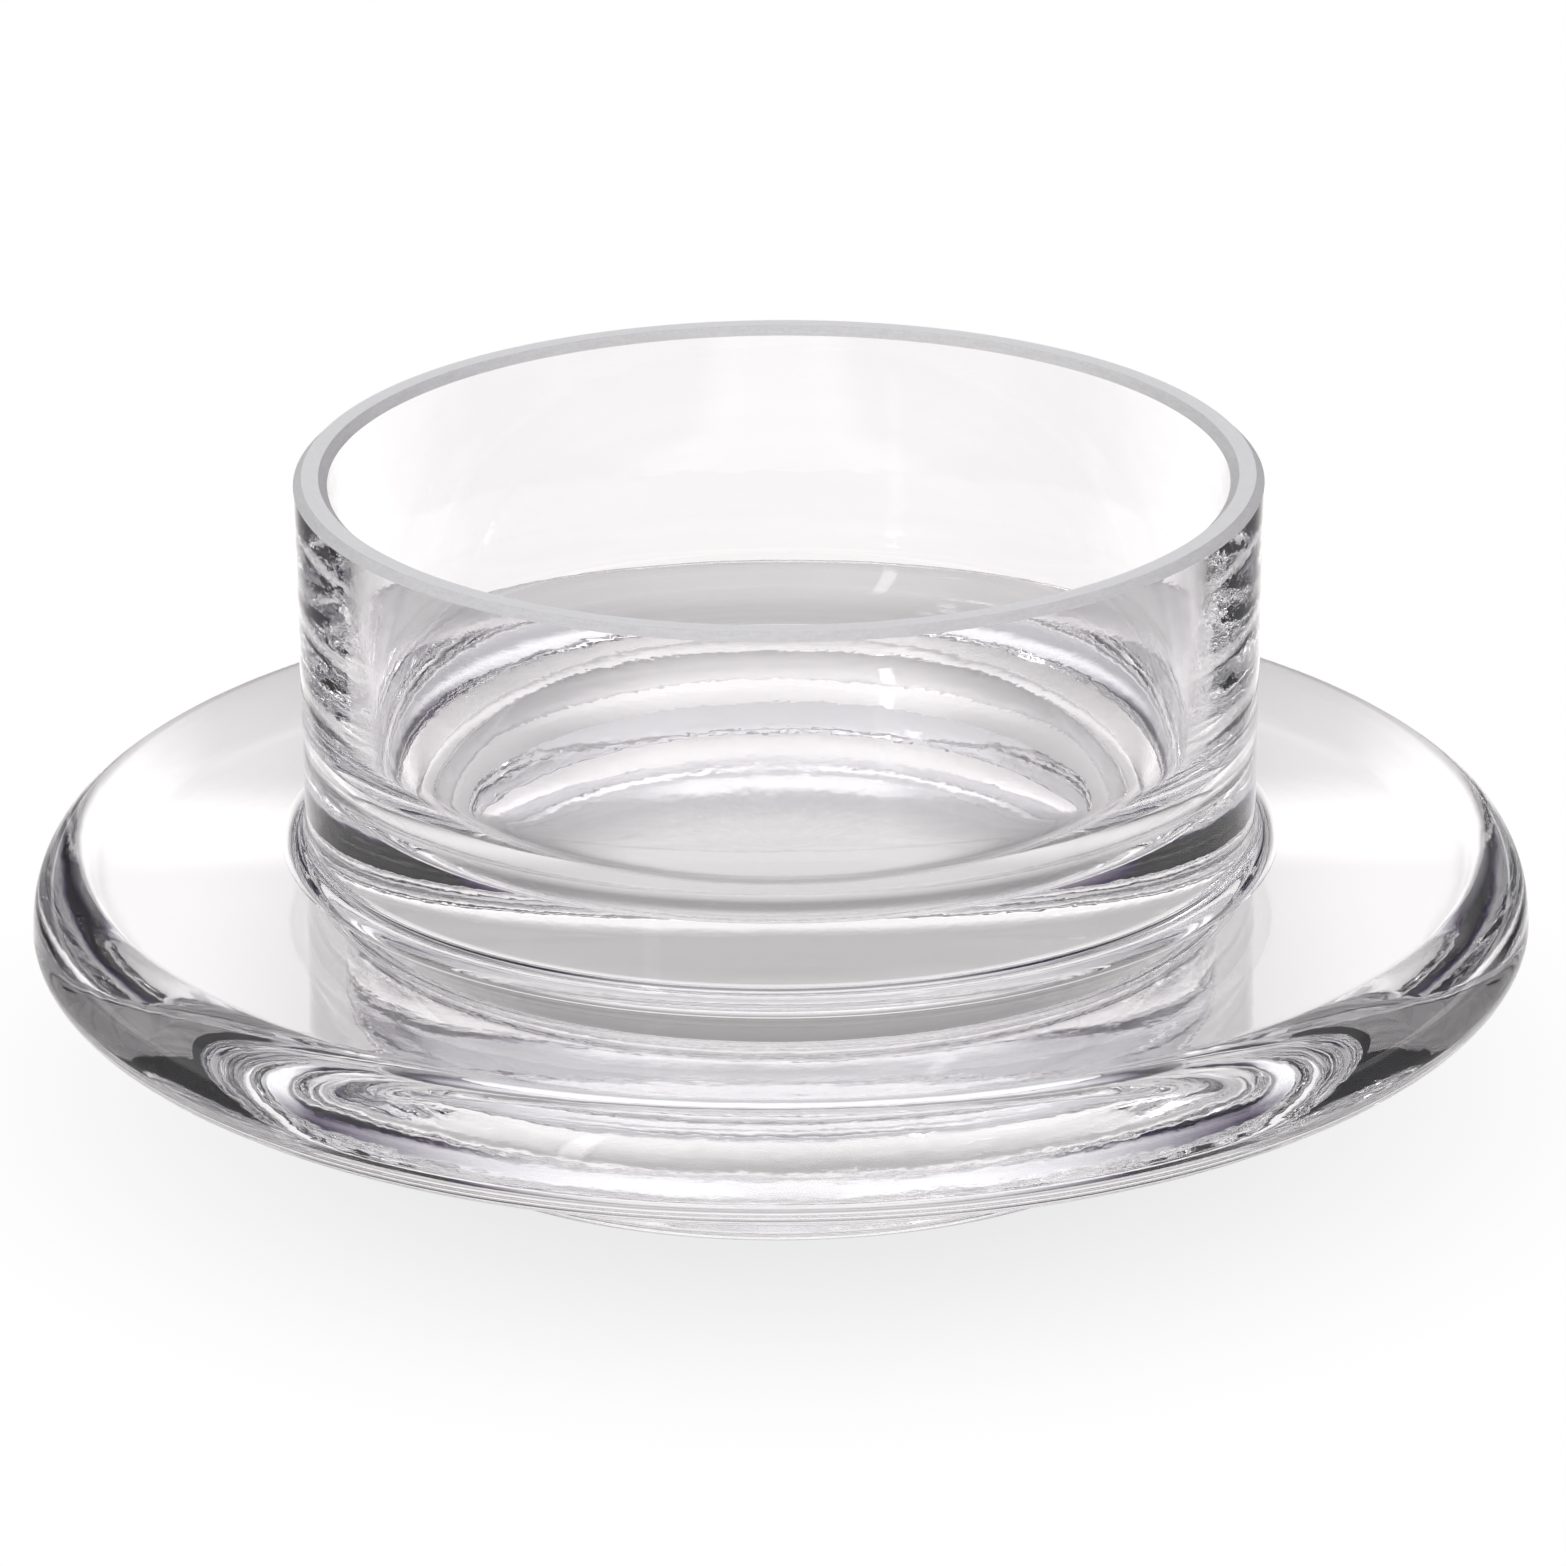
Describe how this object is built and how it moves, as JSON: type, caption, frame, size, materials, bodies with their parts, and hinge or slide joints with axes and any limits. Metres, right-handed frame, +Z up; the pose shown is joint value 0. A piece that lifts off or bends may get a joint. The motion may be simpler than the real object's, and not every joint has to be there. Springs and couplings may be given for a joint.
{
  "type": "footed glass dish with saucer",
  "caption": "Low cylindrical dish of thick clear glass joined to a broad round-edged saucer on a short round foot; stands free and holds liquid, crystals, a candle or small things.",
  "frame": {"origin": "centre of the foot's ground face, on the surface that the dish stands on", "axes": "+Z up along the axis of revolution; +X and +Y are any two level directions at right angles"},
  "size_m": [0.1566, 0.1566, 0.067],
  "materials": {
    "dish_glass": "fire-polished clear glass with a ground and bevelled rim",
    "collar_glass": "clear glass",
    "saucer_glass": "fire-polished clear glass",
    "foot_glass": "clear glass with a flat ground ring underneath"
  },
  "bodies": {
    "root": {"dish": "dish_glass", "joint_collar": "collar_glass", "saucer": "saucer_glass", "foot": "foot_glass"}
  },
  "joints": []
}
